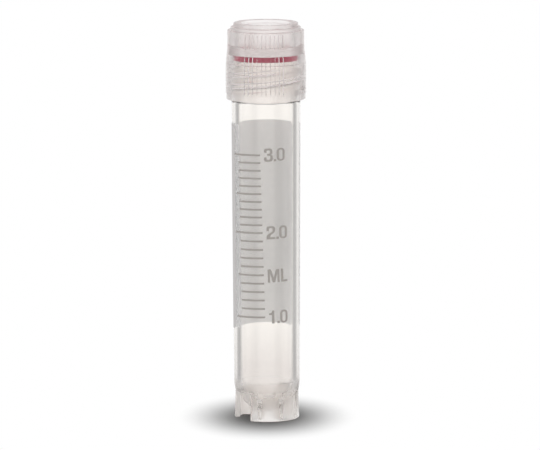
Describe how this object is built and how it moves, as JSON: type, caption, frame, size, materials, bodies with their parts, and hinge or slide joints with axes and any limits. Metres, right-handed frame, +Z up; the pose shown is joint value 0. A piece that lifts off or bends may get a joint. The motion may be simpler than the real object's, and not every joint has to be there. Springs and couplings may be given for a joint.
{
  "type": "cryovial",
  "caption": "Slim translucent screw-cap vial with a round bottom, a notched standing foot, a printed volume scale and a writing panel.",
  "frame": {"origin": "centre of the foot, on the surface that the vial stands on", "axes": "+Z up the tube's axis, from the foot to the cap; -Y is the front, where the volume scale is; +X is to the right of the scale"},
  "size_m": [0.0144, 0.0144, 0.071],
  "materials": {
    "tube_plastic": "natural translucent polypropylene, smooth as moulded",
    "cap_plastic": "natural translucent polypropylene, fine moulded flutes",
    "washer_silicone": "soft crimson silicone, smooth",
    "panel_ink": "matt off-white printed ink",
    "scale_ink": "thin grey printed ink"
  },
  "bodies": {
    "vial": {"tube": "tube_plastic", "writing_panel": "panel_ink", "scale_marks": "scale_ink"},
    "seal": {"washer": "washer_silicone"},
    "closure": {"cap": "cap_plastic"}
  },
  "joints": [
    {"name": "cap_lift", "type": "slide", "parent": "vial", "child": "seal", "axis": [0, 0, 1], "range_m": [0, 0.008]},
    {"name": "cap_turn", "type": "hinge", "parent": "seal", "child": "closure", "pos_m": [0, 0, 0.0645], "axis": [0, 0, 1], "range_deg": [0, 720]}
  ],
  "couplings": [
    {"joint": "cap_turn", "follows": "cap_lift", "rad_per_m": 1570.8}
  ]
}
